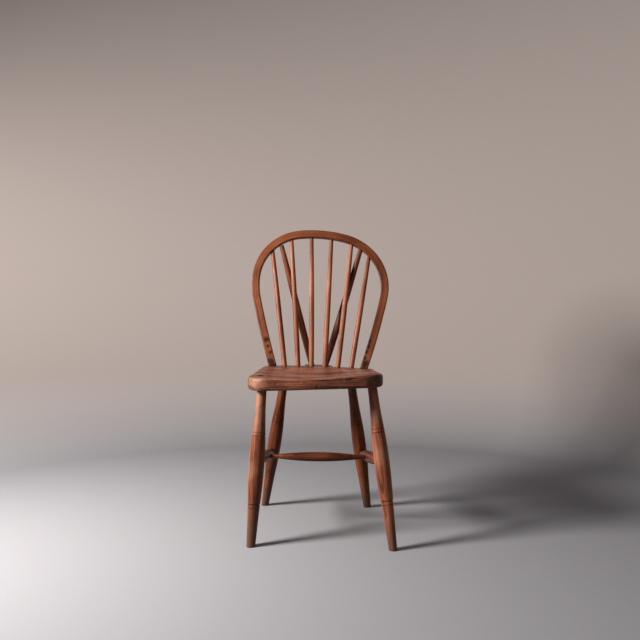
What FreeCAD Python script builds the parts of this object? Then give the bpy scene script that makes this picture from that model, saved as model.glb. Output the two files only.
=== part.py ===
import FreeCAD, Part
import math
import os
import Sketcher

# A hoop-back kitchen chair. A dished plank seat stands on four raked, turned legs with an H of
# three stretchers. Its back is a bent bow with six sticks, held by two braces that rise from a
# tail at the rear of the seat. Millimetres and degrees, +Z up, the front towards -Y and +X to
# the right of someone who looks at the front. The origin is on the floor, under the middle.
# The chair is handmade: its seat is slightly wound and its legs and bow aren't quite even, so
# each side has its own driving dimensions.

V = FreeCAD.Vector
Y_AXIS = V(0, 1, 0)
Z_AXIS = V(0, 0, 1)

STICKS = 6
BOW_ARCS = 7
LEG_PLACES = ("front_left", "front_right", "rear_left", "rear_right")
SIDES = (("left", -1), ("right", 1))

# How steeply the dish rises at its rim, and the steps of the grid that its surface runs through.
DISH_POWER = 1.5
SURFACE_STEPS = 24

# A sketch's own axes and the ends of its pieces, as its constraints number them.
ACROSS_LINE = -1
UP_LINE = -2
ORIGIN_POINT = (-1, 1)
FIRST_END = 1
SECOND_END = 2

# Points nearer than this are the same point. A leg's four rings take off at least this many
# cubic millimetres, or some of them have cut nothing.
SAME_POINT = 0.01
LEAST_RING_WASTE = 400.0

DRIVING = (
    # The seat: the x of its middle line, its half widths, and its reach in front of and behind
    # the origin. Every other x here is measured from that middle line.
    ("seat_middle", -4.8),
    ("seat_height", 442.4),
    ("seat_thick", 35.2),
    ("seat_front", 212.0),
    ("seat_front_bow", 10.0),
    ("seat_front_half", 183.0),
    ("seat_rear_half", 168.0),
    ("seat_rear_corner", 128.0),
    ("seat_rear", 168.0),
    ("tail_half", 46.0),
    ("tail_end", 233.0),
    ("front_corner_round", 55.0),
    ("rear_corner_round", 42.0),
    ("tail_root_round", 14.0),
    ("tail_corner_round", 13.0),
    ("seat_top_round", 7.0),
    ("seat_under_round", 9.0),
    # The wind of the plank: its rise per millimetre to the right, at two places.
    ("slope_front", 0.0345),
    ("slope_row", -0.0238),
    # The dish, which runs out over the front edge.
    ("dish_depth", 11.0),
    ("dish_half_width", 165.0),
    ("dish_half_length", 215.0),
    ("dish_forward", 107.0),
    # The row of sticks: its end sticks stand in line with the bow, the middle ones behind.
    ("row_back", 129.0),
    ("row_curve", 13.3),
    ("stick_gap", 41.3),
    # The bow, in its own leaning plane: from its left foot, a short straight and seven arcs.
    ("bow_lean", 11.84),
    ("bow_width", 25.0),
    ("bow_depth", 24.0),
    ("bow_front_round", 3.0),
    ("bow_back_round", 9.0),
    ("bow_sink", 12.0),
    ("bow_foot_left", 137.0),
    ("bow_splay_left", 17.3),
    ("bow_straight", 12.5),
    ("bow_radius_1", 3580.0),
    ("bow_radius_2", 231.5),
    ("bow_radius_3", 151.5),
    ("bow_radius_4", 404.7),
    ("bow_radius_5", 175.5),
    ("bow_radius_6", 160.6),
    ("bow_radius_7", 2080.0),
    ("bow_turn_1", 3.5),
    ("bow_turn_2", 20.2),
    ("bow_turn_3", 76.9),
    ("bow_turn_4", 20.8),
    ("bow_turn_5", 35.8),
    ("bow_turn_6", 51.5),
    ("bow_turn_7", 6.6),
    ("bow_tenon_dia", 19.0),
    ("bow_tenon_root", 18.0),
    # The sticks, and where each meets the bow's inner edge, across and up in the bow's plane.
    ("stick_foot_dia", 14.5),
    ("stick_swell_dia", 16.6),
    ("stick_top_dia", 12.0),
    ("stick_swell_share", 0.36),
    ("stick_in_seat", 22.0),
    ("stick_in_bow", 12.0),
    ("stick_1_across", -155.7),
    ("stick_1_up", 359.8),
    ("stick_2_across", -96.6),
    ("stick_2_up", 394.9),
    ("stick_3_across", -32.9),
    ("stick_3_up", 406.6),
    ("stick_4_across", 30.5),
    ("stick_4_up", 406.5),
    ("stick_5_across", 94.6),
    ("stick_5_up", 388.0),
    ("stick_6_across", 150.7),
    ("stick_6_up", 349.3),
    # The braces, from the tail to the bow, measured as the sticks are.
    ("brace_half_gap", 22.5),
    ("brace_back", 213.0),
    ("brace_foot_dia", 16.0),
    ("brace_swell_dia", 22.0),
    ("brace_top_dia", 14.0),
    ("brace_swell_share", 0.36),
    ("brace_in_tail", 22.0),
    ("brace_in_bow", 10.0),
    ("brace_left_across", -126.6),
    ("brace_left_up", 379.0),
    ("brace_right_across", 122.5),
    ("brace_right_up", 371.9),
    # The legs: the turning is the same for all four, measured along it from its two rings.
    ("leg_tenon_dia", 26.0),
    ("leg_swell_dia", 41.0),
    ("leg_ring_dia", 32.0),
    ("leg_end_dia", 20.2),
    ("ring_span", 186.0),
    ("swell_under_ring", 75.0),
    ("tenon_over_ring", 110.0),
    ("leg_over_ring", 185.0),
    ("leg_under_ring", 132.0),
    ("ring_pair_gap", 9.5),
    ("ring_cut_deep", 1.3),
    ("ring_cut_proud", 0.5),
    ("ring_cut_half", 1.6),
    ("tenon_sunk", 2.5),
    # Each leg's centre on the floor and at the level of the seat's underside, and the height
    # of its upper ring.
    ("leg_top_level", 405.0),
    ("front_left_foot_x", -164.6),
    ("front_left_foot_y", -204.8),
    ("front_left_top_x", -144.0),
    ("front_left_top_y", -135.0),
    ("front_left_ring", 283.0),
    ("front_right_foot_x", 202.9),
    ("front_right_foot_y", -219.8),
    ("front_right_top_x", 154.0),
    ("front_right_top_y", -127.0),
    ("front_right_ring", 293.5),
    ("rear_left_foot_x", -167.5),
    ("rear_left_foot_y", 172.8),
    ("rear_left_top_x", -101.0),
    ("rear_left_top_y", 77.0),
    ("rear_left_ring", 284.0),
    ("rear_right_foot_x", 155.8),
    ("rear_right_foot_y", 163.7),
    ("rear_right_top_x", 101.0),
    ("rear_right_top_y", 74.0),
    ("rear_right_ring", 278.0),
    # The stretchers. The side ones fall towards the back, and the cross one joins them.
    ("side_front_level", 215.0),
    ("side_rear_level", 178.0),
    ("side_end_dia", 15.0),
    ("side_swell_dia", 34.0),
    ("cross_share", 0.47),
    ("cross_end_dia", 12.5),
    ("cross_swell_dia", 27.0),
    ("neck_share", 0.12),
    ("short_of_axis", 2.0),
    # The wedges that spread the tenons.
    ("wedge_deep", 24.0),
    ("wedge_over", 12.0),
    ("wedge_tip", 0.8),
    ("wedge_head", 3.4),
    ("wedge_half", 18.0),
    # The blocks of waste that trim the blanks: how far they reach past the seat, how deep they
    # are, and the half width of the one under the floor.
    ("waste_margin", 25.0),
    ("waste_deep", 60.0),
    ("floor_half", 300.0),
)

doc = FreeCAD.newDocument("kitchen_chair")
sheet = doc.addObject("Spreadsheet::Sheet", "Dim")
sheet_rows = []


def size(alias, value):
    """Add one named value to the sheet."""
    sheet_rows.append(alias)
    row = len(sheet_rows)
    sheet.set("A%d" % row, alias)
    sheet.set("B%d" % row, "%.6f" % value)
    sheet.setAlias("B%d" % row, alias)


for driving_alias, driving_number in DRIVING:
    size(driving_alias, driving_number)
doc.recompute()


def dim(alias):
    """The number that the sheet holds under a name."""
    return float(sheet.get(alias))


def number(expression):
    """What an expression of the sheet's cells comes to."""
    return float(sheet.evalExpression(expression))


# Drawing: sketches whose sizes are bound to the sheet.

def origin_plane(body, role):
    return next(feature for feature in body.Origin.OriginFeatures if feature.Role == role)


def new_sketch(body, name, role):
    sketch = body.newObject("Sketcher::SketchObject", name)
    sketch.AttachmentSupport = (origin_plane(body, role), [""])
    sketch.MapMode = "FlatFace"
    return sketch


def constrain(sketch, kind, *arguments):
    """Add a dimension whose last argument is an expression, and bind it to that expression."""
    expression = arguments[-1]
    value = number(expression)
    if kind == "Angle":
        value = math.radians(value)
        expression = "(%s) * 1 deg" % expression
    index = sketch.addConstraint(Sketcher.Constraint(kind, *arguments[:-1], value))
    sketch.setExpression("Constraints[%d]" % index, expression)


def hold(sketch, piece, end, across, up):
    """Hold one end of a line or arc at its distances across and up from the origin."""
    if across == "0":
        sketch.addConstraint(Sketcher.Constraint("PointOnObject", piece, end, UP_LINE))
    else:
        constrain(sketch, "DistanceX", *ORIGIN_POINT, piece, end, across)
    if up == "0":
        sketch.addConstraint(Sketcher.Constraint("PointOnObject", piece, end, ACROSS_LINE))
    else:
        constrain(sketch, "DistanceY", *ORIGIN_POINT, piece, end, up)


def add_arc(sketch, start, end, radius, side):
    """Draw an arc that stands out to the left (side 1) or the right (side -1) of its way."""
    chord = end - start
    rise = radius - math.sqrt(radius ** 2 - chord.Length ** 2 / 4)
    left = V(-chord.y, chord.x, 0).normalize()
    middle = (start + end) * 0.5 + left * (rise * side)
    piece = sketch.addGeometry(Part.Arc(start, middle, end), False)
    if (sketch.getPoint(piece, FIRST_END) - start).Length < SAME_POINT:
        return piece, FIRST_END, SECOND_END
    return piece, SECOND_END, FIRST_END


def closed_outline(sketch, corners):
    """Draw a closed outline whose corners and arc radii are expressions of the sheet's cells.

    A corner is (across, up) before a straight edge, and (across, up, radius, side) before an
    arc, with the side as add_arc takes it.
    """
    points = [V(number(corner[0]), number(corner[1]), 0) for corner in corners]
    pieces = []
    for index, corner in enumerate(corners):
        start = points[index]
        end = points[(index + 1) % len(points)]
        if len(corner) == 2:
            line = sketch.addGeometry(Part.LineSegment(start, end), False)
            pieces.append((line, FIRST_END, SECOND_END))
        else:
            pieces.append(add_arc(sketch, start, end, number(corner[2]), corner[3]))
    for index, (piece, first, last) in enumerate(pieces):
        following = pieces[(index + 1) % len(pieces)]
        joint = Sketcher.Constraint("Coincident", piece, last, following[0], following[1])
        sketch.addConstraint(joint)
    for corner, (piece, first, last) in zip(corners, pieces):
        hold(sketch, piece, first, corner[0], corner[1])
        if len(corner) == 4:
            constrain(sketch, "Radius", piece, corner[2])


def swell_radius(rise, run):
    """The radius of an arc that starts square and moves in by rise over a length of run."""
    return "(({1})^2 + ({0})^2) / (2 * ({0}))".format(rise, run)


# Turned pieces: each is a body with its axis along its own Z.

def turned(name, corners):
    body = doc.addObject("PartDesign::Body", name)
    profile = new_sketch(body, name + "_profile", "XZ_Plane")
    closed_outline(profile, corners)
    revolved = body.newObject("PartDesign::Revolution", name + "_revolved")
    revolved.Profile = profile
    revolved.ReferenceAxis = (profile, ["V_Axis"])
    revolved.Angle = 360
    body.Label = name
    return body


def rod(name, kind, start, end):
    """Turn a rod from start to end: a stick or brace with its swell low and a thinner top."""
    size(name + "_length", (end - start).Length)
    doc.recompute()
    length = "Dim.%s_length" % name
    foot, swell, top = ["Dim.%s_%s_dia" % (kind, part) for part in ("foot", "swell", "top")]
    height = "Dim.%s_swell_share * %s" % (kind, length)
    lower = swell_radius("(%s - %s) / 2" % (swell, foot), height)
    upper = swell_radius("(%s - %s) / 2" % (swell, top), "%s - %s" % (length, height))
    body = turned(name, (
        ("0", "0"),
        ("%s / 2" % foot, "0", lower, -1),
        ("%s / 2" % swell, height, upper, -1),
        ("%s / 2" % top, length),
        ("0", length),
    ))
    body.Placement = along(start, end)
    return body


def stretcher(name, kind, start, end):
    """Turn a stretcher, with its swell in the middle and a straight neck at each end."""
    way = (end - start).normalize()
    start = start + way * dim("short_of_axis")
    end = end - way * dim("short_of_axis")
    size(name + "_length", (end - start).Length)
    doc.recompute()
    length = "Dim.%s_length" % name
    neck = "Dim.neck_share * %s" % length
    far_neck = "(1 - Dim.neck_share) * %s" % length
    end_radius = "Dim.%s_end_dia / 2" % kind
    rise = "(Dim.{0}_swell_dia - Dim.{0}_end_dia) / 2".format(kind)
    bulge = swell_radius(rise, "(0.5 - Dim.neck_share) * %s" % length)
    body = turned(name, (
        ("0", "0"),
        (end_radius, "0"),
        (end_radius, neck, bulge, -1),
        (end_radius, far_neck),
        (end_radius, length),
        ("0", length),
    ))
    body.Placement = along(start, end)
    return body


def along(start, end):
    """The place of a piece that stands at start and points at end."""
    return FreeCAD.Placement(start, FreeCAD.Rotation(Z_AXIS, end - start))


# Joinery: cuts, common parts and groups of cutters.

def cut(name, base, tool):
    result = doc.addObject("Part::Cut", name)
    result.Base = base
    result.Tool = tool
    result.Label = name
    return result


def common(name, base, tool):
    result = doc.addObject("Part::Common", name)
    result.Base = base
    result.Tool = tool
    result.Label = name
    return result


def group(name, members):
    result = doc.addObject("Part::Compound", name)
    result.Links = members
    return result


def peg(name, diameter, length, place):
    """A plain round cutter or tenon of a diameter and length from the sheet."""
    result = doc.addObject("Part::Cylinder", name)
    result.setExpression("Radius", "Dim.%s / 2" % diameter)
    result.setExpression("Height", length)
    result.Placement = place
    return result


def wedge_blank(name, root, direction, across):
    """A blade that widens from its tip at root along direction, and is wide along across."""
    result = doc.addObject("Part::Wedge", name)
    for side, sign in (("min", "-"), ("max", "")):
        result.setExpression("X" + side, sign + "Dim.wedge_half")
        result.setExpression("X2" + side, sign + "Dim.wedge_half")
        result.setExpression("Z" + side, sign + "Dim.wedge_tip / 2")
        result.setExpression("Z2" + side, sign + "Dim.wedge_head / 2")
    result.Ymin = 0
    result.setExpression("Ymax", "Dim.wedge_deep + Dim.wedge_over")
    turn = FreeCAD.Rotation(across, direction, across.cross(direction), "YXZ")
    result.Placement = FreeCAD.Placement(root, turn)
    return result


# The seat.

def seat_slope(y):
    """How much the wound plank rises per millimetre to the right, at y."""
    share = (y + dim("seat_front")) / (dim("row_back") + dim("seat_front"))
    return dim("slope_front") + (dim("slope_row") - dim("slope_front")) * share


def plank_height(x, y):
    return dim("seat_height") + (x - dim("seat_middle")) * seat_slope(y)


def dish(x, y):
    """How deep the dish is at x, y: it starts flat at its rim and is deepest in its middle."""
    across = (x - dim("seat_middle")) / dim("dish_half_width")
    along_seat = (y + dim("dish_forward")) / dim("dish_half_length")
    inside = max(0.0, 1 - across ** 2 - along_seat ** 2)
    return dim("dish_depth") * inside ** DISH_POWER


def seat_top(x, y):
    return plank_height(x, y) - dish(x, y)


def even_steps(first, last):
    return [first + (last - first) * i / SURFACE_STEPS for i in range(SURFACE_STEPS + 1)]


def waste(name, height, side):
    """A block of waste that starts at the surface height(x, y) and goes up (1) or down (-1)."""
    half = dim("seat_front_half") + dim("waste_margin")
    xs = even_steps(dim("seat_middle") - half, dim("seat_middle") + half)
    ys = even_steps(-dim("seat_front") - dim("waste_margin"), dim("tail_end") + dim("waste_margin"))
    surface = Part.BSplineSurface()
    surface.interpolate([[V(x, y, height(x, y)) for y in ys] for x in xs])
    block = surface.toShape().extrude(Z_AXIS * (side * dim("waste_deep")))
    result = doc.addObject("Part::Feature", name)
    result.Shape = block
    return result


def flat_gap(one, other):
    """How far apart two points are in plan."""
    return math.hypot(one.x - other.x, one.y - other.y)


def round_corners(body, name, places, radius):
    """Round the upright edges of a body nearest to some places in plan."""
    doc.recompute()
    last = body.Tip
    edges = []
    for x, y in places:
        uprights = []
        for index, edge in enumerate(last.Shape.Edges):
            ends = [vertex.Point for vertex in edge.Vertexes]
            if len(ends) == 2 and flat_gap(*ends) < SAME_POINT:
                uprights.append((flat_gap(ends[0], V(x, y, 0)), index + 1))
        edges.append("Edge%d" % min(uprights)[1])
    rounded = body.newObject("PartDesign::Fillet", name)
    rounded.Base = (last, edges)
    rounded.setExpression("Radius", radius)


def seat_blank():
    """The plank cut to its outline, with half a thickness to spare on each face."""
    body = doc.addObject("PartDesign::Body", "seat_blank")
    outline = new_sketch(body, "seat_outline", "XY_Plane")
    corner_front = "-(Dim.seat_front - Dim.seat_front_bow)"
    front_arc = swell_radius("Dim.seat_front_bow", "Dim.seat_front_half")
    rear_arc = swell_radius("(Dim.seat_rear - Dim.seat_rear_corner)", "Dim.seat_rear_half")
    tail_root = "Dim.seat_rear - (%s) + sqrt((%s)^2 - Dim.tail_half^2)" % (rear_arc, rear_arc)
    closed_outline(outline, (
        ("-Dim.seat_front_half", corner_front, front_arc, -1),
        ("Dim.seat_front_half", corner_front),
        ("Dim.seat_rear_half", "Dim.seat_rear_corner", rear_arc, -1),
        ("Dim.tail_half", tail_root),
        ("Dim.tail_half", "Dim.tail_end"),
        ("-Dim.tail_half", "Dim.tail_end"),
        ("-Dim.tail_half", tail_root, rear_arc, -1),
        ("-Dim.seat_rear_half", "Dim.seat_rear_corner"),
    ))
    pad = body.newObject("PartDesign::Pad", "seat_plank")
    pad.Profile = outline
    pad.setExpression("Length", "2 * Dim.seat_thick")
    half = dim("seat_front_half")
    rear = dim("seat_rear_half")
    tail = dim("tail_half")
    front_y = dim("seat_front_bow") - dim("seat_front")
    corner_y = dim("seat_rear_corner")
    root_y = number(tail_root)
    end_y = dim("tail_end")
    for corner_name, x, y, radius in (
            ("front_corners", half, front_y, "front_corner_round"),
            ("rear_corners", rear, corner_y, "rear_corner_round"),
            ("tail_roots", tail, root_y, "tail_root_round"),
            ("tail_corners", tail, end_y, "tail_corner_round")):
        round_corners(body, corner_name, [(-x, y), (x, y)], "Dim." + radius)
    spare = dim("seat_thick") / 2
    body.Placement.Base = V(dim("seat_middle"), 0, dim("seat_height") - dim("seat_thick") - spare)
    return body


def eased_seat(shaped):
    """Round over the seat's edges, above and below."""
    doc.recompute()
    shape = shaped.Shape
    lower, upper = sorted(sorted(shape.Faces, key=lambda face: face.Area)[-2:],
                          key=lambda face: face.CenterOfMass.z)
    edges = []
    for face, alias in ((upper, "seat_top_round"), (lower, "seat_under_round")):
        for index, edge in enumerate(shape.Edges):
            if any(edge.isSame(other) for other in face.OuterWire.Edges):
                edges.append((index + 1, dim(alias), dim(alias)))
    result = doc.addObject("Part::Fillet", "seat_eased")
    result.Base = shaped
    result.Edges = edges
    return result


# The bow, drawn in its own plane and then leant back.

ROW_SLOPE = seat_slope(dim("row_back"))
BOW_BASE = V(dim("seat_middle"), dim("row_back"), dim("seat_height"))
BOW_ACROSS = V(1, 0, ROW_SLOPE).normalize()
LEAN = math.radians(dim("bow_lean"))
BOW_FRONT = V(0, -math.cos(LEAN), math.sin(LEAN))
BOW_UP = BOW_FRONT.cross(BOW_ACROSS).normalize()


def in_bow(across, up):
    """A point of the bow's plane."""
    return BOW_BASE + BOW_ACROSS * across + BOW_UP * up


def bow_path(sketch):
    """Draw the bow's middle line from its left foot over the top to its right foot."""
    heading = math.radians(90 + dim("bow_splay_left"))
    place = V(-dim("bow_foot_left"), -dim("bow_sink"), 0)
    step = V(math.cos(heading), math.sin(heading), 0) * dim("bow_straight")
    piece = sketch.addGeometry(Part.LineSegment(place, place + step), False)
    hold(sketch, piece, FIRST_END, "-Dim.bow_foot_left", "-Dim.bow_sink")
    constrain(sketch, "Angle", piece, "90 + Dim.bow_splay_left")
    constrain(sketch, "Distance", piece, "Dim.bow_straight")
    place = place + step
    last_end = SECOND_END
    for index in range(1, BOW_ARCS + 1):
        radius = "Dim.bow_radius_%d" % index
        turn = "Dim.bow_turn_%d" % index
        angle = math.radians(number(turn))
        half_heading = heading - angle / 2
        chord = 2 * number(radius) * math.sin(angle / 2)
        end = place + V(math.cos(half_heading), math.sin(half_heading), 0) * chord
        arc, first, last = add_arc(sketch, place, end, number(radius), 1)
        sketch.addConstraint(Sketcher.Constraint("Tangent", piece, last_end, arc, first))
        constrain(sketch, "Radius", arc, radius)
        constrain(sketch, "Angle", arc, turn)
        heading -= angle
        place = end
        piece = arc
        last_end = last
    return place, heading


def bent_bow():
    body = doc.addObject("PartDesign::Body", "bow_bend")
    path = new_sketch(body, "bow_path", "XY_Plane")
    right_end, right_heading = bow_path(path)
    section = new_sketch(body, "bow_section", "XZ_Plane")
    section.AttachmentOffset = FreeCAD.Placement(
        V(-dim("bow_foot_left"), 0, dim("bow_sink")),
        FreeCAD.Rotation(Y_AXIS, dim("bow_splay_left")))
    side = "Dim.bow_width / 2"
    face = "Dim.bow_depth / 2"
    front = "Dim.bow_front_round"
    back = "Dim.bow_back_round"
    closed_outline(section, (
        ("-%s" % side, "-(%s - %s)" % (face, back), back, -1),
        ("-(%s - %s)" % (side, back), "-%s" % face),
        ("%s - %s" % (side, back), "-%s" % face, back, -1),
        (side, "-(%s - %s)" % (face, back)),
        (side, "%s - %s" % (face, front), front, -1),
        ("%s - %s" % (side, front), face),
        ("-(%s - %s)" % (side, front), face, front, -1),
        ("-%s" % side, "%s - %s" % (face, front)),
    ))
    pipe = body.newObject("PartDesign::AdditivePipe", "bow_sweep")
    pipe.Profile = section
    pipe.Spine = path
    body.Placement = FreeCAD.Placement(
        BOW_BASE, FreeCAD.Rotation(BOW_ACROSS, BOW_UP, BOW_FRONT, "ZXY"))
    left_end = V(-dim("bow_foot_left"), -dim("bow_sink"), 0)
    left_heading = math.radians(dim("bow_splay_left") - 90)
    return body, (("left", left_end, left_heading), ("right", right_end, right_heading))


# Build everything.

seat_shaped = cut("seat_shaped", seat_blank(), waste("over_seat", seat_top, 1))
seat_under = waste("under_seat", lambda x, y: plank_height(x, y) - dim("seat_thick"), -1)
seat_shaped = cut("seat_two_faces", seat_shaped, seat_under)
seat_eased = eased_seat(seat_shaped)
over_sunk = waste("over_sunk_tenon", lambda x, y: seat_top(x, y) - dim("tenon_sunk"), 1)

bow_bend, bow_feet = bent_bow()

sticks = []
end_place = (STICKS - 1) / 2
for stick_index in range(STICKS):
    stick_name = "stick_%d" % (stick_index + 1)
    place_in_row = stick_index - end_place
    foot_x = dim("seat_middle") + place_in_row * dim("stick_gap")
    foot_y = dim("row_back") + dim("row_curve") * (1 - (place_in_row / end_place) ** 2)
    foot_point = V(foot_x, foot_y, seat_top(foot_x, foot_y))
    top_point = in_bow(dim(stick_name + "_across"), dim(stick_name + "_up"))
    stick_way = (top_point - foot_point).normalize()
    sticks.append(rod(stick_name, "stick", foot_point - stick_way * dim("stick_in_seat"),
                      top_point + stick_way * dim("stick_in_bow")))

braces = []
for side_name, side_sign in SIDES:
    foot_x = dim("seat_middle") + side_sign * dim("brace_half_gap")
    foot_point = V(foot_x, dim("brace_back"), seat_top(foot_x, dim("brace_back")))
    top_point = in_bow(dim("brace_%s_across" % side_name), dim("brace_%s_up" % side_name))
    brace_way = (top_point - foot_point).normalize()
    braces.append(rod("brace_" + side_name, "brace",
                      foot_point - brace_way * dim("brace_in_tail"),
                      top_point + brace_way * dim("brace_in_bow")))


def leg_axis(place):
    """A leg's point on the floor and its direction, for a place such as front_left."""
    middle = dim("seat_middle")
    foot = V(middle + dim(place + "_foot_x"), dim(place + "_foot_y"), 0)
    top = V(middle + dim(place + "_top_x"), dim(place + "_top_y"), dim("leg_top_level"))
    return foot, (top - foot).normalize()


def at_level(place, level):
    """The point of a leg's axis at a height over the floor."""
    foot, way = leg_axis(place)
    return foot + way * (level / way.z)


def leg_turning(place):
    """A turned leg, longer than it will be at both ends, with two pairs of scribed rings."""
    ring = "(Dim.leg_under_ring + Dim.ring_span)"
    swell = "(%s - Dim.swell_under_ring)" % ring
    tenon = "(%s + Dim.tenon_over_ring)" % ring
    waist = "((%s + %s) / 2)" % (swell, tenon)
    waist_dia = "((Dim.leg_swell_dia + Dim.leg_tenon_dia) / 2)"
    neck_arc = swell_radius("(Dim.leg_swell_dia - %s) / 2" % waist_dia,
                            "%s - %s" % (waist, swell))
    calf_arc = swell_radius("(Dim.leg_swell_dia - Dim.leg_ring_dia) / 2",
                            "%s - Dim.leg_under_ring" % swell)
    top = "%s + Dim.leg_over_ring" % ring
    name = place + "_turning"
    body = turned(name, (
        ("0", "0"),
        ("Dim.leg_end_dia / 2", "0"),
        ("Dim.leg_ring_dia / 2", "Dim.leg_under_ring", calf_arc, -1),
        ("Dim.leg_swell_dia / 2", swell, neck_arc, -1),
        ("%s / 2" % waist_dia, waist, neck_arc, 1),
        ("Dim.leg_tenon_dia / 2", tenon),
        ("Dim.leg_tenon_dia / 2", top),
        ("0", top),
    ))
    doc.recompute()
    rings = new_sketch(body, name + "_rings", "XZ_Plane")
    ring_inset = "(({0}) - sqrt(({0})^2 - Dim.swell_under_ring^2))".format(neck_arc)
    ring_dia = "(Dim.leg_swell_dia - 2 * %s)" % ring_inset
    for level, dia in (("Dim.leg_under_ring", "Dim.leg_ring_dia"), (ring, ring_dia)):
        for sign in ("-", "+"):
            height = "%s %s Dim.ring_pair_gap / 2" % (level, sign)
            outside = "%s / 2 + Dim.ring_cut_proud" % dia
            closed_outline(rings, (
                (outside, height + " - Dim.ring_cut_half"),
                ("%s / 2 - Dim.ring_cut_deep" % dia, height),
                (outside, height + " + Dim.ring_cut_half"),
            ))
    groove = body.newObject("PartDesign::Groove", name + "_ring_cuts")
    groove.Profile = rings
    groove.ReferenceAxis = (rings, ["V_Axis"])
    groove.Angle = 360
    foot, way = leg_axis(place)
    start = at_level(place, dim(place + "_ring")) - way * number(ring)
    body.Placement = along(start, start + way)
    return body


turnings = {place: leg_turning(place) for place in LEG_PLACES}

side_bodies = {}
cross_ends = []
for side_name, side_sign in SIDES:
    front_point = at_level("front_" + side_name, dim("side_front_level"))
    rear_point = at_level("rear_" + side_name, dim("side_rear_level"))
    side_bodies[side_name] = stretcher("side_stretcher_%s_turning" % side_name, "side",
                                       front_point, rear_point)
    cross_ends.append(front_point + (rear_point - front_point) * dim("cross_share"))
cross_stretcher = stretcher("cross_stretcher", "cross", cross_ends[0], cross_ends[1])

side_stretchers = [cut("side_stretcher_" + side_name, side_body, cross_stretcher)
                   for side_name, side_body in side_bodies.items()]

floor = doc.addObject("Part::Box", "under_floor")
floor.setExpression("Length", "2 * Dim.floor_half")
floor.setExpression("Width", "2 * Dim.floor_half")
floor.setExpression("Height", "Dim.waste_deep")
floor.Placement.Base = V(-dim("floor_half"), -dim("floor_half"), -dim("waste_deep"))

legs = []
wedges = []
for place in LEG_PLACES:
    leg_foot, leg_way = leg_axis(place)
    over = over_sunk if place == "front_left" else doc.getObject("over_seat")
    on_floor = cut(place + "_on_floor", turnings[place], floor)
    flush = cut(place + "_flush", on_floor, over)
    seat_point = at_level(place, dim("seat_height"))
    blade = wedge_blank(place + "_blade", seat_point - leg_way * dim("wedge_deep"),
                        leg_way, Y_AXIS)
    wedge = common(place + "_wedge", flush, blade)
    split = cut(place + "_split", flush, blade)
    side_name = place.split("_")[1]
    legs.append(cut(place + "_leg", split, side_bodies[side_name]))
    wedges.append(wedge)

pegs = []
bow_blades = []
for side_name, end, heading in bow_feet:
    down = (BOW_ACROSS * math.cos(heading) + BOW_UP * math.sin(heading)).normalize()
    start = in_bow(end.x, end.y) - down * dim("bow_tenon_root")
    pegs.append(peg("bow_tenon_" + side_name, "bow_tenon_dia",
                    "2 * Dim.seat_thick", along(start, start + down)))
    under_point = in_bow(end.x, end.y) + down * ((dim("seat_thick") - dim("bow_sink")) / -down.z)
    bow_blades.append(wedge_blank("bow_blade_" + side_name,
                                  under_point - down * dim("wedge_deep"), down, Y_AXIS))

seat = cut("seat", seat_eased,
           group("seat_sockets", list(turnings.values()) + pegs + sticks + braces))

bow_blank = doc.addObject("Part::MultiFuse", "bow_blank")
bow_blank.Shapes = [bow_bend] + pegs
bow_on_seat = cut("bow_on_seat", bow_blank, seat)
bow_flush = cut("bow_flush", bow_on_seat, seat_under)
bow_socketed = cut("bow_socketed", bow_flush, group("bow_sockets", sticks + braces))
bow = cut("bow", bow_socketed, group("bow_kerfs", bow_blades))
for (side_name, side_sign), blade in zip(SIDES, bow_blades):
    wedges.append(common("bow_wedge_" + side_name, bow_socketed, blade))

doc.recompute()

pieces = [seat, bow] + sticks + braces + legs + side_stretchers + [cross_stretcher] + wedges

for thing in doc.Objects:
    if "Invalid" in thing.State or "Error" in thing.State:
        raise RuntimeError("%s didn't compute: %s" % (thing.Label, thing.State))
for place, turning in turnings.items():
    plain = doc.getObject(place + "_turning_revolved")
    if plain.Shape.Volume - turning.Shape.Volume < LEAST_RING_WASTE:
        raise RuntimeError("a ring of the %s leg cut nothing" % place)
os.makedirs("parts", exist_ok=True)
for piece in pieces:
    shape = piece.Shape
    if shape.isNull() or not shape.isValid() or len(shape.Solids) != 1:
        raise RuntimeError("%s isn't one valid solid" % piece.Label)
for piece in pieces:
    piece.Shape.exportStep(os.path.join("parts", piece.Label + ".step"))
    box = piece.Shape.BoundBox
    print("%-22s %10.0f mm3  x %6.1f %6.1f  y %6.1f %6.1f  z %6.1f %6.1f" % (
        piece.Label, piece.Shape.Volume, box.XMin, box.XMax, box.YMin, box.YMax,
        box.ZMin, box.ZMax))
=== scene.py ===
import math

import bmesh
import bpy
import numpy as np
from mathutils import Matrix, Vector, noise
from mathutils.bvhtree import BVHTree

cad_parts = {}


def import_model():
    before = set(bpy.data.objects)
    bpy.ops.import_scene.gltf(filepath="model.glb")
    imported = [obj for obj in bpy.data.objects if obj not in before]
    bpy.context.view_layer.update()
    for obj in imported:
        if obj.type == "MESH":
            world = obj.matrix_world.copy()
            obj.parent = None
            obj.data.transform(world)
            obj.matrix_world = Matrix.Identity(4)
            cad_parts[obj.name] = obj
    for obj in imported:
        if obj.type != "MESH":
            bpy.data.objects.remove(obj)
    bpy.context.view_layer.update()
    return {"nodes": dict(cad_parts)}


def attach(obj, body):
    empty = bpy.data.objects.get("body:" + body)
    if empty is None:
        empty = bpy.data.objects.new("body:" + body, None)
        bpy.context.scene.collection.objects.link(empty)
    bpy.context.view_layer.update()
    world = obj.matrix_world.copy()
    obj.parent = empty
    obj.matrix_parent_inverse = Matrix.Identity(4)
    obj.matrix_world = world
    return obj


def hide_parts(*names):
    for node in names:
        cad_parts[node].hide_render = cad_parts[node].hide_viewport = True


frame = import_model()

# Metres, +Z up, the chair's front towards -Y.

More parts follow.
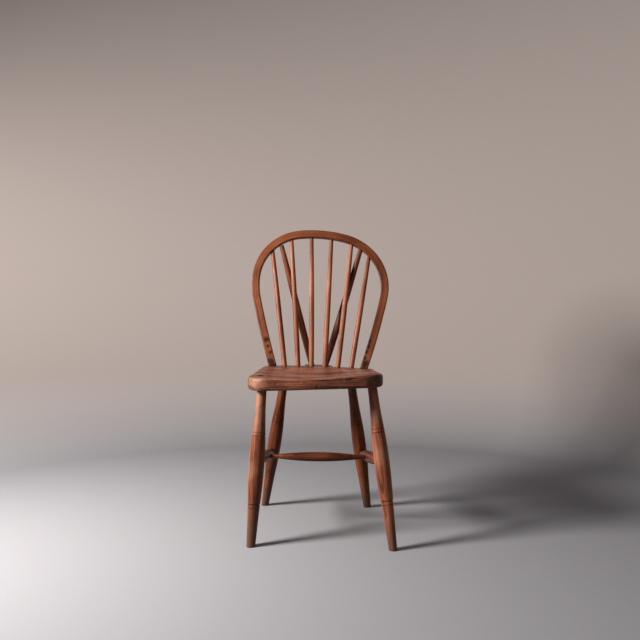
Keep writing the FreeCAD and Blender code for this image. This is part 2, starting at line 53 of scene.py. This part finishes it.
# The camera: where it stands, where it looks, and its focal length as a share of the image.
CAMERA_PLACE = Vector((0.04693, -1.90643, 0.59777))
CAMERA_AIM = Vector((-0.02251, 0.99973, -0.00521)).normalized()
CAMERA_ROLL = 0.003
FOCAL_PIXELS = 658.0
IMAGE_PIXELS = 640.0
SENSOR = 36.0

# The studio: a round cove, open at the top, that holds every camera.
COVE_CENTRE = Vector((0.0, -0.45, 0.0))
COVE_RADIUS = 1.95
COVE_BEND = 0.35
COVE_HEIGHT = 3.2
COVE_SIDES = 96
BEND_STEPS = 14
FLOOR_COLOUR = (0.42, 0.42, 0.45)
WALL_COLOUR = (0.64, 0.56, 0.53)
# How much of the light that falls on the cove comes back to the chair.
COVE_BOUNCE = 0.28
COVE_ROUGHNESS = 0.75

# The lamps: place, size, power and colour. All look at the middle of the chair.
LOOK_AT = Vector((0.0, 0.0, 0.42))
LAMPS = (
    ("key", Vector((-1.50, -0.66, 1.20)), 0.50, 58.0, (1.0, 0.95, 0.90)),
    ("fill", Vector((1.00, -1.50, 1.30)), 1.3, 2.0, (0.92, 0.96, 1.0)),
)
WORLD_COLOUR = (0.90, 0.94, 1.0)
WORLD_STRENGTH = 0.14

# How the texture noise of one piece is moved away from that of the next, in metres.
PIECE_SHIFT = 1.7

# The colour sockets of a mix node, which share their names with its other kinds.
MIX_ONE, MIX_TWO, MIX_RESULT = 6, 7, 2

# The edges of marks: how ragged they are, how many bumps a reach holds, and the share of the
# reach at which a mark is full.
RAGGED = 0.7
SPOT_BUMPS = 1.6
SPOT_SOFT = 0.42
LINE_BUMPS = 1.2
LINE_SOFT = 0.5


# Node trees: a few calls that each add one node and return its output.

class Shade:
    """The node tree of one material, with its shader at hand."""

    def __init__(self, name):
        self.material = bpy.data.materials.new(name)
        self.material.use_nodes = True
        self.tree = self.material.node_tree
        self.shader = next(n for n in self.tree.nodes if n.type == "BSDF_PRINCIPLED")

    def add(self, kind, inputs, output=0, **settings):
        """A node with its settings and inputs; an input is a number, a colour or an output."""
        made = self.tree.nodes.new(kind)
        for key, value in settings.items():
            setattr(made, key, value)
        for key, value in inputs.items():
            self.feed(made.inputs[key], value)
        return made.outputs[output]

    def feed(self, socket, value):
        if isinstance(value, bpy.types.NodeSocket):
            self.tree.links.new(value, socket)
        elif hasattr(value, "__len__") and len(value) == 3 and socket.type == "RGBA":
            socket.default_value = (*value, 1.0)
        else:
            socket.default_value = value

    def place(self, matrix):
        """The row frame's coordinates, seen from a piece whose own axes are the matrix's."""
        point = self.add("ShaderNodeTexCoord", {}, "Object")
        return self.add("ShaderNodeMapping", {
            "Vector": point,
            "Location": matrix.to_translation(),
            "Rotation": matrix.to_euler(),
        }, vector_type="TEXTURE")

    def stretch(self, point, scale, shift=0.0):
        return self.add("ShaderNodeMapping", {
            "Vector": point, "Scale": scale, "Location": (shift, shift, shift)})

    def noise(self, point, detail=4.0, roughness=0.55, distortion=0.0):
        return self.add("ShaderNodeTexNoise", {
            "Vector": point, "Scale": 1.0, "Detail": detail, "Roughness": roughness,
            "Distortion": distortion}, "Fac")

    def span(self, value, low, high, to_low=0.0, to_high=1.0):
        """Spread the values from low to high over another range, and cut off what lies past."""
        return self.add("ShaderNodeMapRange", {
            "Value": value, "From Min": low, "From Max": high, "To Min": to_low,
            "To Max": to_high})

    def math(self, operation, one, two=0.0):
        made = self.tree.nodes.new("ShaderNodeMath")
        made.operation = operation
        self.feed(made.inputs[0], one)
        self.feed(made.inputs[1], two)
        return made.outputs[0]

    def mix(self, share, one, two, blend="MIX"):
        made = self.tree.nodes.new("ShaderNodeMix")
        made.data_type = "RGBA"
        made.blend_type = blend
        self.feed(made.inputs["Factor"], share)
        self.feed(made.inputs[MIX_ONE], one)
        self.feed(made.inputs[MIX_TWO], two)
        return made.outputs[MIX_RESULT]

    def within(self, point, away, reach, bumps, soft):
        """How much a distance lies within reach, from 0 to 1, with a ragged edge."""
        edge = self.noise(self.stretch(point, (bumps / reach,) * 3), 4, 0.65)
        ragged = self.span(edge, 0.2, 0.8, 1 - RAGGED, 1 + RAGGED)
        return self.span(self.math("MULTIPLY", away, ragged), reach, reach * soft)

    def near(self, spot, reach):
        """How much a place lies within reach of a spot."""
        point = self.add("ShaderNodeTexCoord", {}, "Object")
        away = self.add("ShaderNodeVectorMath", {0: point, 1: spot}, "Value",
                        operation="DISTANCE")
        return self.within(point, away, reach, SPOT_BUMPS, SPOT_SOFT)

    def near_line(self, start, end, reach):
        """How much a place lies within reach of the straight line between two places."""
        point = self.add("ShaderNodeTexCoord", {}, "Object")
        way = end - start
        gone = self.add("ShaderNodeVectorMath", {0: point, 1: start}, operation="SUBTRACT")
        share = self.add("ShaderNodeVectorMath", {0: gone, 1: way}, "Value",
                         operation="DOT_PRODUCT")
        share = self.span(share, 0.0, way.length_squared)
        step = self.add("ShaderNodeVectorMath", {0: way, "Scale": share}, operation="SCALE")
        away = self.add("ShaderNodeVectorMath", {0: gone, 1: step}, "Value",
                        operation="DISTANCE")
        return self.within(point, away, reach, LINE_BUMPS, LINE_SOFT)

    def ramp(self, value, stops):
        made = self.tree.nodes.new("ShaderNodeValToRGB")
        self.feed(made.inputs[0], value)
        elements = made.color_ramp.elements
        while len(elements) < len(stops):
            elements.new(0.5)
        for element, (position, colour) in zip(elements, stops):
            element.position = position
            element.color = (*colour, 1.0)
        return made.outputs[0]


def scaled(colour, factor):
    return tuple(channel * factor for channel in colour)


# The frame's pieces: where their grain runs.

def vertices(obj):
    flat = np.zeros(len(obj.data.vertices) * 3, np.float32)
    obj.data.vertices.foreach_get("co", flat)
    return flat.reshape(-1, 3).astype(float)


def long_axis(obj):
    """A piece's own place: Z along its length, from its lower end."""
    points = vertices(obj)
    middle = (points.min(0) + points.max(0)) / 2
    way = np.linalg.svd(points - points.mean(0), full_matrices=False)[2][0]
    way = way if way[2] >= 0 else -way
    turn = Vector(way).to_track_quat("Z", "Y").to_matrix().to_4x4()
    return Matrix.Translation(Vector(middle)) @ turn


# Timber: how often each noise repeats in a metre, twice across the fibres and once along.
WANDER_SCALE = (14, 14, 2.2)
FIBRE_SCALE = (900, 900, 16)
STREAK_SCALE = (120, 120, 3.0)
BLOTCH_SCALE = (16, 16, 7)
PORE_SCALE = (1900, 1900, 120)
WEAR_SCALE = (45, 45, 18)

# How far the pith wanders off its line, how much slower the rings change along the fibres,
# and the spacing of a wave texture's rings at a scale of 1, in metres.
PITH_WANDER = (0.006, -0.005)
RING_STRETCH = (1, 1, 0.12)
WAVE_SPACING = 2 * math.pi / 20

# Pores: the noise values where they start and are full, their share, and their darkness.
PORE_EDGE = (0.60, 0.70)
PORE_SHARE = 0.5
PORE_DARK = 0.45

# Painted shade in corners, grooves and joints, from ambient occlusion: how near another
# surface has to be, the openness where the painted shade starts and is full, and its darkness.
CORNER_SHADE_REACH = 0.009
CORNER_SHADE_EDGE = (0.90, 0.42)
CORNER_SHADE_DARK = 0.18
CORNER_SHADE_SAMPLES = 6

# The relief of the surface, in metres.
RELIEF = 0.0004


def growth_rings(shade, point, moved, ring, pith):
    """The growth rings round a pith beside the piece, from 0 to 1."""
    wander = shade.noise(shade.stretch(moved, WANDER_SCALE), 3)
    across = [shade.span(wander, 0, 1, middle - reach, middle + reach)
              for middle, reach in zip(pith, PITH_WANDER)]
    offset = shade.add("ShaderNodeCombineXYZ", {"X": across[0], "Y": across[1]})
    from_pith = shade.add("ShaderNodeVectorMath", {0: point, 1: offset}, operation="ADD")
    return shade.add("ShaderNodeTexWave", {
        "Vector": shade.stretch(from_pith, RING_STRETCH),
        "Scale": WAVE_SPACING / ring, "Distortion": 2.2, "Detail": 3.0,
        "Detail Scale": 0.6, "Detail Roughness": 0.6},
        "Fac", wave_type="RINGS", rings_direction="Z", wave_profile="SAW")


def marked(shade, colour, marks, lines):
    """A colour with its spots and lines on it."""
    for spot, reach, mark_colour, strength in marks:
        share = shade.math("MULTIPLY", shade.near(spot, reach), strength)
        colour = shade.mix(share, colour, mark_colour)
    for line_start, line_end, reach, line_colour, strength in lines:
        share = shade.math("MULTIPLY", shade.near_line(line_start, line_end, reach), strength)
        colour = shade.mix(share, colour, line_colour)
    return colour


def scuffed(shade, colour, sheen, blotches, fibres):
    """A leg's colour and roughness, with its foot scuffed grey."""
    height = shade.add("ShaderNodeSeparateXYZ", {
        0: shade.add("ShaderNodeTexCoord", {}, "Object")}, "Z")
    uneven = shade.math("ADD", height, shade.span(
        blotches, 0.2, 0.8, -FOOT_UNEVEN, FOOT_UNEVEN))
    share = shade.span(uneven, SCUFF_TOP, SCUFF_FULL, 0.0, SCUFF_SHARE)
    colour = shade.mix(share, colour, shade.mix(fibres, FOOT_DARK, FOOT_GREY))
    sheen = shade.math("ADD", sheen, shade.math("MULTIPLY", share, SCUFF_DULLS))
    return colour, sheen


def timber(name, place, tones, ring=0.0035, pith=(0.05, 0.03), streak=1.0, shift=0.0,
           gloss=(0.30, 0.46), grime=0.8, blotch=0.5, marks=(), lines=(), foot=False):
    """Waxed wood with its rings round a pith beside the piece, and its fibres along Z.

    place is the piece's own matrix, or the name of the mesh attribute that holds its own
    coordinates. tones are the dark, middle and light colours, ring is the spacing of the
    growth rings, and gloss is the range of the roughness. streak and blotch are how strong
    the grain and its mottling are, and grime is how dark the painted shade in corners and
    grooves gets. Each of the marks is a spot, a reach, a colour and a strength, and each of
    the lines has two ends in place of a spot. A leg has a scuffed foot.
    """
    shade = Shade(name)
    if isinstance(place, str):
        point = shade.add("ShaderNodeAttribute", {}, "Vector", attribute_name=place)
    else:
        point = shade.place(place)
    moved = shade.stretch(point, (1, 1, 1), shift)
    rings = growth_rings(shade, point, moved, ring, pith)
    fibres = shade.noise(shade.stretch(moved, FIBRE_SCALE), 3, 0.6)
    streaks = shade.noise(shade.stretch(moved, STREAK_SCALE), 5, 0.6)
    blotches = shade.noise(shade.stretch(moved, BLOTCH_SCALE), 3, 0.5)
    pores = shade.span(shade.noise(shade.stretch(moved, PORE_SCALE), 1, 0.5), *PORE_EDGE)
    wear = shade.noise(shade.stretch(moved, WEAR_SCALE), 4, 0.6)

    tone = 0.0
    for value, weight in ((streaks, 0.60 * streak), (rings, 0.13 * streak),
                          (blotches, blotch), (fibres, 0.18 * streak)):
        apart = shade.math("MULTIPLY", shade.math("SUBTRACT", value, 0.5), weight)
        tone = shade.math("ADD", tone, apart)
    dark, middle, light = tones
    colour = shade.ramp(shade.span(tone, -TONE_SPREAD, TONE_SPREAD), (
        (0.0, dark), (0.5, middle), (1.0, light)))
    colour = shade.mix(shade.math("MULTIPLY", pores, PORE_SHARE), colour,
                       scaled(dark, PORE_DARK))
    # Painted shade: ambient occlusion darkens the colour in corners, grooves and joints.
    openness = shade.add("ShaderNodeAmbientOcclusion", {"Distance": CORNER_SHADE_REACH}, "AO",
                         samples=CORNER_SHADE_SAMPLES)
    painted_shade = shade.span(openness, *CORNER_SHADE_EDGE, 0.0, grime)
    colour = shade.mix(painted_shade, colour, scaled(dark, CORNER_SHADE_DARK))
    colour = marked(shade, colour, marks, lines)
    sheen = shade.span(wear, 0.3, 0.7, *gloss)
    if foot:
        colour, sheen = scuffed(shade, colour, sheen, blotches, fibres)
    shade.feed(shade.shader.inputs["Base Color"], colour)
    shade.feed(shade.shader.inputs["Roughness"], sheen)

    height = shade.math("SUBTRACT", shade.math("MULTIPLY", fibres, 0.6),
                        shade.math("MULTIPLY", pores, 0.5))
    height = shade.math("ADD", height, shade.math("MULTIPLY", wear, 0.9))
    bump = shade.add("ShaderNodeBump", {"Height": height, "Strength": 0.6, "Distance": RELIEF})
    shade.feed(shade.shader.inputs["Normal"], bump)
    shade.shader.inputs["Specular IOR Level"].default_value = WAX_GLOSS
    return shade


# How far the sum of the grain's noises goes either way from dark to light.
TONE_SPREAD = 0.17

# How strongly the wax on the wood mirrors the room.
WAX_GLOSS = 0.20

# Tones from dark over middle to light.
BOW_TONES = ((0.055, 0.012, 0.005), (0.210, 0.056, 0.021), (0.34, 0.108, 0.046))
STICK_TONES = ((0.10, 0.025, 0.010), (0.33, 0.104, 0.050), (0.54, 0.21, 0.12))
LEG_TONES = ((0.070, 0.019, 0.008), (0.30, 0.090, 0.043), (0.53, 0.195, 0.105))
REAR_TONES = ((0.035, 0.008, 0.003), (0.170, 0.042, 0.015), (0.31, 0.088, 0.034))
SEAT_TONES = ((0.042, 0.013, 0.007), (0.265, 0.083, 0.044), (0.43, 0.17, 0.097))
DARK_TONES = ((0.032, 0.008, 0.0035), (0.145, 0.035, 0.015), (0.28, 0.082, 0.038))
END_TONES = ((0.05, 0.018, 0.011), (0.14, 0.048, 0.027), (0.26, 0.110, 0.064))

# The feet are scuffed grey up to this height, and wholly so below the other.
SCUFF_TOP = 0.115
SCUFF_FULL = 0.03
FOOT_UNEVEN = 0.035
SCUFF_SHARE = 0.75
SCUFF_DULLS = 0.25
FOOT_DARK = (0.055, 0.030, 0.020)
FOOT_GREY = (0.20, 0.115, 0.080)

# Marks on the wood: a stain, old wax, and a pale colour for wear and for painted highlights.
STAIN = (0.010, 0.005, 0.006)
OLD_WAX = (0.045, 0.016, 0.009)
PALE_WEAR_AND_HIGHLIGHT = (0.50, 0.27, 0.17)

# The growth rings' spacing in the turned pieces of the back and between the legs, and in the
# end grain of the wedges.
TURNED_RING = 0.003
WEDGE_RING = 0.002


def finish_of(name):
    """A piece's tones and the settings of its timber."""
    if "wedge" in name:
        return END_TONES, dict(ring=WEDGE_RING)
    if name.endswith("_leg"):
        tones = REAR_TONES if name.startswith("rear") else LEG_TONES
        # Legs take full-strength painted shade in their corners and ring grooves.
        return tones, dict(grime=1.0, foot=True)
    if name.startswith("stick"):
        return STICK_TONES, dict(ring=TURNED_RING)
    if name.startswith(("brace", "cross", "side")):
        return DARK_TONES, dict(ring=TURNED_RING)
    raise ValueError("no finish for " + name)


# Places on the chair that the camera sees at a pixel of the image.

def camera_axes():
    right = CAMERA_AIM.cross(Vector((0, 0, 1))).normalized()
    up = right.cross(CAMERA_AIM)
    return (right * math.cos(CAMERA_ROLL) + up * math.sin(CAMERA_ROLL),
            up * math.cos(CAMERA_ROLL) - right * math.sin(CAMERA_ROLL))


def tree_of(obj):
    return BVHTree.FromPolygons([v.co for v in obj.data.vertices],
                                [p.vertices for p in obj.data.polygons])


def seen_at(tree, pixel):
    """The place on a mesh that the camera sees at a pixel."""
    right, up = camera_axes()
    middle = IMAGE_PIXELS / 2
    ray = (CAMERA_AIM + right * ((pixel[0] - middle) / FOCAL_PIXELS)
           - up * ((pixel[1] - middle) / FOCAL_PIXELS)).normalized()
    place = tree.ray_cast(CAMERA_PLACE, ray)[0]
    if place is None:
        raise ValueError("nothing is seen at %s" % (pixel,))
    return place


# The bow and the seat: fine even meshes of the frame's own shapes, with the unevenness of
# handwork and use worked into them, always inwards.
SOFTEN_STEPS = 2
BOW_VOXEL = 0.0015
SEAT_VOXEL = 0.0019

# Their unevenness, as depth, length of a bump and seed, and the ragged edges of their chips.
BOW_WAVES = ((0.0005, 0.035, 3.1), (0.0002, 0.006, 9.4))
SEAT_WAVES = ((0.0007, 0.045, 5.2), (0.0003, 0.009, 1.7))
CHIP_LEAST = 0.75
CHIP_RANGE = 0.5
CHIP_BUMP = 0.004
CHIP_SEED = 7.7


def fine_copy(node, name, voxel):
    """A remeshed copy of a node, evenly and finely divided."""
    mesh = node.data.copy()
    mesh.name = name
    obj = bpy.data.objects.new(name, mesh)
    bpy.context.scene.collection.objects.link(obj)
    remesh = obj.modifiers.new("even", "REMESH")
    remesh.mode = "VOXEL"
    remesh.voxel_size = voxel
    smooth = obj.modifiers.new("soften", "SMOOTH")
    smooth.factor = 0.5
    smooth.iterations = SOFTEN_STEPS
    depsgraph = bpy.context.evaluated_depsgraph_get()
    even = bpy.data.meshes.new_from_object(obj.evaluated_get(depsgraph))
    obj.modifiers.clear()
    obj.data = even
    for polygon in even.polygons:
        polygon.use_smooth = True
    return obj


def work_inwards(obj, depth_at):
    """Move each point of a mesh inwards by depth_at(place)."""
    places = vertices(obj)
    normals = np.zeros_like(places, dtype=np.float32)
    obj.data.vertices.foreach_get("normal", normals.reshape(-1))
    depth = np.array([depth_at(Vector(place)) for place in places])
    moved = places - normals * depth[:, None]
    obj.data.vertices.foreach_set("co", moved.astype(np.float32).reshape(-1))
    obj.data.update()


def waves(place, length, seed):
    """Smooth unevenness from 0 to 1 with bumps of about a length."""
    return 0.5 + 0.5 * noise.noise(place / length + Vector((seed, seed, seed)))


def unevenness(place, sizes):
    return sum(depth * waves(place, length, seed) for depth, length, seed in sizes)


# The bow's middle line in its own leaning plane, as the frame has it: the level and the slope
# of that plane, its foot, and its arcs as radius and turn, from the left foot to the right.
BOW_BASE = Vector((-0.0048, 0.129, 0.4424))
BOW_SLOPE = -0.0238
BOW_LEAN = math.radians(11.84)
BOW_FOOT = Vector((-0.137, -0.012))
BOW_SPLAY = math.radians(17.3)
BOW_STRAIGHT = 0.0125
BOW_ARCS = ((3.580, 3.5), (0.2315, 20.2), (0.1515, 76.9), (0.4047, 20.8), (0.1755, 35.8),
            (0.1606, 51.5), (2.080, 6.6))
BOW_STEP = 0.004
BOW_TAIL = 0.06


def bow_line():
    """Points along the bow's middle line, from below its left foot to below its right."""
    heading = math.pi / 2 + BOW_SPLAY
    way = Vector((math.cos(heading), math.sin(heading)))
    places = [BOW_FOOT - way * BOW_TAIL, BOW_FOOT, BOW_FOOT + way * BOW_STRAIGHT]
    for radius, turn in BOW_ARCS:
        steps = max(2, round(radius * math.radians(turn) / BOW_STEP))
        part = math.radians(turn) / steps
        for _ in range(steps):
            middle = heading - part / 2
            chord = 2 * radius * math.sin(part / 2)
            places.append(places[-1] + Vector((math.cos(middle), math.sin(middle))) * chord)
            heading -= part
    places.append(places[-1] + Vector((math.cos(heading), math.sin(heading))) * BOW_TAIL)
    return np.array(places)


def bow_coordinates(obj):
    """For each point of the bow: across, through and along its bend, in metres."""
    across = Vector((1, 0, BOW_SLOPE)).normalized()
    front = Vector((0, -math.cos(BOW_LEAN), math.sin(BOW_LEAN)))
    up = front.cross(across).normalized()
    away = vertices(obj) - np.array(BOW_BASE)
    flat = np.stack([away @ np.array(across), away @ np.array(up)], 1)
    through = away @ np.array(front)
    line = bow_line()
    runs = line[1:] - line[:-1]
    lengths = np.linalg.norm(runs, axis=1)
    starts = np.concatenate([[0], np.cumsum(lengths)[:-1]])
    best = np.full(len(flat), np.inf)
    own = np.zeros((len(flat), 3))
    for begin, run, length, start in zip(line[:-1], runs, lengths, starts):
        way = run / length
        step = np.clip((flat - begin) @ way, 0, length)
        beside = flat - begin - step[:, None] * way
        gap = np.linalg.norm(beside, axis=1)
        nearer = gap < best
        best[nearer] = gap[nearer]
        side = beside @ np.array((way[1], -way[0]))
        own[nearer] = np.stack([side, through, start + step], 1)[nearer]
    return own


def keep_coordinates(obj, name, own):
    attribute = obj.data.attributes.new(name, "FLOAT_VECTOR", "POINT")
    attribute.data.foreach_set("vector", own.astype(np.float32).reshape(-1))


def dress(obj, name, place, tones, **settings):
    made = timber(name + "_wood", place, tones, **settings)
    obj.data.materials.clear()
    obj.data.materials.append(made.material)


# Where the photographed chair is marked, in pixels: the bow's dark stains, low on both limbs,
# each with its reach in metres, which all spread alike.
STAIN_SPREAD = 1.35
STAIN_STRENGTH = 0.9
BOW_STAINS = (
    ((266.5, 339.5), 0.0085), ((268.0, 346.0), 0.005), ((270.3, 352.0), 0.005),
    ((270.5, 361.0), 0.010), ((273.5, 365.0), 0.009),
    ((369.7, 341.0), 0.006), ((368.0, 346.5), 0.0065), ((366.3, 352.0), 0.006),
    ((364.6, 358.0), 0.006), ((365.5, 364.0), 0.012))


def bow_piece(shift):
    obj = fine_copy(frame["nodes"]["bow"], "bow_wood", BOW_VOXEL)
    tree = tree_of(obj)
    marks = [(seen_at(tree, pixel), reach * STAIN_SPREAD, STAIN, STAIN_STRENGTH)
             for pixel, reach in BOW_STAINS]
    own = bow_coordinates(obj)
    work_inwards(obj, lambda place: unevenness(place, BOW_WAVES))
    keep_coordinates(obj, "grain", own)
    dress(obj, "bow", "grain", BOW_TONES, ring=0.0026, pith=(0.06, 0.02), shift=shift,
          streak=1.3, blotch=0.6, marks=marks)
    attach(obj, "root")
    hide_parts("bow")


# The seat's marks: pixel, reach, colour and strength. The pale marks at the front left corner
# are wear with a painted highlight, and the small pale spot by the front left tenon is a painted
# highlight.
SEAT_MARKS = (
    ((252.0, 379.0), 0.030, PALE_WEAR_AND_HIGHLIGHT, 0.40), ((257.0, 383.0), 0.028, PALE_WEAR_AND_HIGHLIGHT, 0.30),
    ((259.3, 374.4), 0.005, PALE_WEAR_AND_HIGHLIGHT, 0.8), ((367.5, 372.3), 0.004, PALE_WEAR_AND_HIGHLIGHT, 0.6),
    ((379.5, 379.0), 0.022, STAIN, 0.55), ((372.0, 382.0), 0.030, OLD_WAX, 0.5),
    ((263.0, 367.5), 0.020, OLD_WAX, 0.55), ((276.0, 367.0), 0.016, OLD_WAX, 0.6),
    ((364.0, 368.5), 0.020, OLD_WAX, 0.6))

# Dark cracks and dirt along its front edge: the pixels of both ends, reach and strength.
SEAT_LINES = (
    ((318.0, 380.2), (346.0, 379.6), 0.0034, 0.75), ((346.0, 379.6), (378.0, 375.6), 0.0042, 0.9),
    ((330.0, 377.4), (352.0, 377.8), 0.0022, 0.6), ((278.0, 381.0), (306.0, 382.0), 0.0022, 0.5),
    ((272.0, 386.6), (330.0, 385.6), 0.0018, 0.45), ((340.0, 383.0), (372.0, 381.5), 0.0022, 0.5))

# Its chips and dents: pixel, reach and depth.
SEAT_CHIPS = (
    ((379.8, 373.4), 0.0075, 0.0045), ((376.5, 374.0), 0.0045, 0.0022),
    ((251.5, 376.0), 0.012, 0.0018), ((256.5, 379.0), 0.016, 0.0014),
    ((343.0, 379.5), 0.006, 0.0012), ((300.0, 382.0), 0.005, 0.0008),
    ((318.0, 387.0), 0.005, 0.0009), ((276.0, 384.0), 0.005, 0.0009))


# The plank's fibres run from side to side.
SEAT_GRAIN = Matrix.Rotation(math.radians(90), 4, "Y")


def seat_piece(shift):
    obj = fine_copy(frame["nodes"]["seat"], "seat_wood", SEAT_VOXEL)
    tree = tree_of(obj)
    marks = [(seen_at(tree, pixel), reach, colour, strength)
             for pixel, reach, colour, strength in SEAT_MARKS]
    lines = [(seen_at(tree, first), seen_at(tree, last), reach, STAIN, strength)
             for first, last, reach, strength in SEAT_LINES]
    chips = [(seen_at(tree, pixel), reach, depth) for pixel, reach, depth in SEAT_CHIPS]

    def worn(place):
        depth = unevenness(place, SEAT_WAVES)
        for spot, reach, deep in chips:
            ragged = CHIP_LEAST + CHIP_RANGE * waves(place, CHIP_BUMP, CHIP_SEED)
            gap = (place - spot).length / (reach * ragged)
            if gap < 1:
                depth += deep * (1 - gap * gap)
        return depth

    work_inwards(obj, worn)
    dress(obj, "seat", SEAT_GRAIN, SEAT_TONES, ring=0.0045, pith=(0.03, 0.11), streak=1.3,
          blotch=0.8, shift=shift, gloss=(0.28, 0.48), marks=marks, lines=lines)
    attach(obj, "root")
    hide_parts("seat")


# Painted highlights on the lit sides of the front legs, in pixels, each with its reach and
# strength.
LEG_HIGHLIGHTS = {
    "front_left_leg": (((258.0, 400.0), 0.034, 0.38), ((256.6, 414.0), 0.034, 0.34),
                       ((254.5, 428.0), 0.028, 0.28), ((250.0, 470.0), 0.030, 0.25)),
    "front_right_leg": (((376.0, 412.0), 0.030, 0.35), ((382.0, 455.0), 0.030, 0.25))}

for index, (name, node) in enumerate(sorted(frame["nodes"].items())):
    shift = index * PIECE_SHIFT
    if name == "bow":
        bow_piece(shift)
    elif name == "seat":
        seat_piece(shift)
    else:
        tones, settings = finish_of(name)
        marks = []
        # The front legs' marks are painted highlights on their lit sides.
        if name in LEG_HIGHLIGHTS:
            tree = tree_of(node)
            marks = [(seen_at(tree, pixel), reach, PALE_WEAR_AND_HIGHLIGHT, strength)
                     for pixel, reach, strength in LEG_HIGHLIGHTS[name]]
        dress(node, name, long_axis(node), tones, shift=shift, marks=marks, **settings)


# The studio.

def cove():
    """A floor that bends up into a round wall."""
    profile = [(0.0, 0.0)]
    flat = COVE_RADIUS - COVE_BEND
    for step in range(BEND_STEPS + 1):
        angle = math.pi / 2 * step / BEND_STEPS
        profile.append((flat + COVE_BEND * math.sin(angle), COVE_BEND * (1 - math.cos(angle))))
    profile.append((COVE_RADIUS, COVE_HEIGHT))
    made = bmesh.new()
    centre = made.verts.new(COVE_CENTRE)
    rings = []
    for reach, rise in profile[1:]:
        turns = [2 * math.pi * side / COVE_SIDES for side in range(COVE_SIDES)]
        rings.append([made.verts.new(COVE_CENTRE + Vector(
            (reach * math.cos(t), reach * math.sin(t), rise))) for t in turns])
    for side in range(COVE_SIDES):
        following = (side + 1) % COVE_SIDES
        made.faces.new((centre, rings[0][side], rings[0][following]))
        for lower, upper in zip(rings, rings[1:]):
            made.faces.new((lower[side], upper[side], upper[following], lower[following]))
    bmesh.ops.recalc_face_normals(made, faces=made.faces)
    mesh = bpy.data.meshes.new("studio_cove")
    made.to_mesh(mesh)
    made.free()
    for polygon in mesh.polygons:
        polygon.use_smooth = True
    obj = bpy.data.objects.new("studio_cove", mesh)
    bpy.context.scene.collection.objects.link(obj)
    shade = Shade("studio_paint")
    height = shade.add("ShaderNodeSeparateXYZ", {
        0: shade.add("ShaderNodeTexCoord", {}, "Object")}, "Z")
    paint = shade.mix(shade.span(height, 0.0, COVE_BEND), FLOOR_COLOUR, WALL_COLOUR)
    seen = 0.0
    for kind in ("Is Camera Ray", "Is Glossy Ray", "Is Transmission Ray"):
        seen = shade.math("MAXIMUM", shade.add("ShaderNodeLightPath", {}, kind), seen)
    dim_paint = shade.mix(1.0, paint, (COVE_BOUNCE,) * 3, "MULTIPLY")
    shade.feed(shade.shader.inputs["Base Color"], shade.mix(seen, dim_paint, paint))
    shade.shader.inputs["Roughness"].default_value = COVE_ROUGHNESS
    mesh.materials.append(shade.material)


def lamp(name, place, size, power, colour):
    light = bpy.data.lights.new(name, "AREA")
    light.shape = "DISK"
    light.size = size
    light.energy = power
    light.color = colour
    obj = bpy.data.objects.new(name, light)
    obj.location = place
    obj.rotation_mode = "QUATERNION"
    obj.rotation_quaternion = (LOOK_AT - place).to_track_quat("-Z", "Y")
    obj.visible_camera = False
    bpy.context.scene.collection.objects.link(obj)


def world():
    made = bpy.data.worlds.new("studio_air")
    made.use_nodes = True
    background = next(n for n in made.node_tree.nodes if n.type == "BACKGROUND")
    background.inputs["Color"].default_value = (*WORLD_COLOUR, 1.0)
    background.inputs["Strength"].default_value = WORLD_STRENGTH
    bpy.context.scene.world = made


def camera():
    right, up = camera_axes()
    axes = Matrix((right, up, -CAMERA_AIM)).transposed().to_4x4()
    data = bpy.data.cameras.new("camera")
    data.sensor_width = SENSOR
    data.lens = FOCAL_PIXELS / IMAGE_PIXELS * SENSOR
    obj = bpy.data.objects.new("camera", data)
    obj.matrix_world = Matrix.Translation(CAMERA_PLACE) @ axes
    bpy.context.scene.collection.objects.link(obj)
    bpy.context.scene.camera = obj


cove()
for settings in LAMPS:
    lamp(*settings)
world()
camera()
bpy.context.scene.view_settings.view_transform = "Standard"
